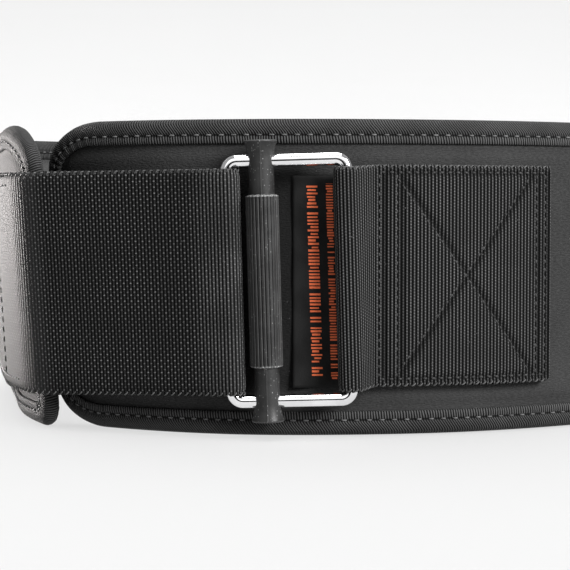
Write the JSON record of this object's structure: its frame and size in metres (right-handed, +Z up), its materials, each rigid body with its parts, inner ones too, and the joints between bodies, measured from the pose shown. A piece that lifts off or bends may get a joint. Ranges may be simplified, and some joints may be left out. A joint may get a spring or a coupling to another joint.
{
  "type": "weightlifting belt",
  "caption": "Padded fabric waist belt closed into a loop, with bound edges, a webbing strap folded round a wire ring and a ribbed sliding bar that grips it.",
  "frame": {"origin": "centre of the bounding box in plan, on the surface that the belt stands on", "axes": "+Z up across the belt's height, -Y towards the front with the buckle, +X to the right seen from the front"},
  "size_m": [0.287, 0.249, 0.108],
  "materials": {
    "body_fabric": "smooth matt cloth over padding",
    "lining_fabric": "smooth matt knit",
    "binding_tape": "ribbed tape, slight sheen",
    "webbing": "heavy ribbed webbing, slight sheen",
    "label_fabric": "smooth, matt, with orange print",
    "ring_steel": "polished",
    "bar_plastic": "satin, worn at the edges"
  },
  "bodies": {
    "root": {"padded_body": "body_fabric", "inner_lining": "lining_fabric", "edge_binding": "binding_tape", "closure_strap": "webbing", "anchor_webbing": "webbing", "label_patch": "label_fabric", "buckle_ring": "ring_steel", "locking_bar": "bar_plastic"}
  },
  "joints": []
}
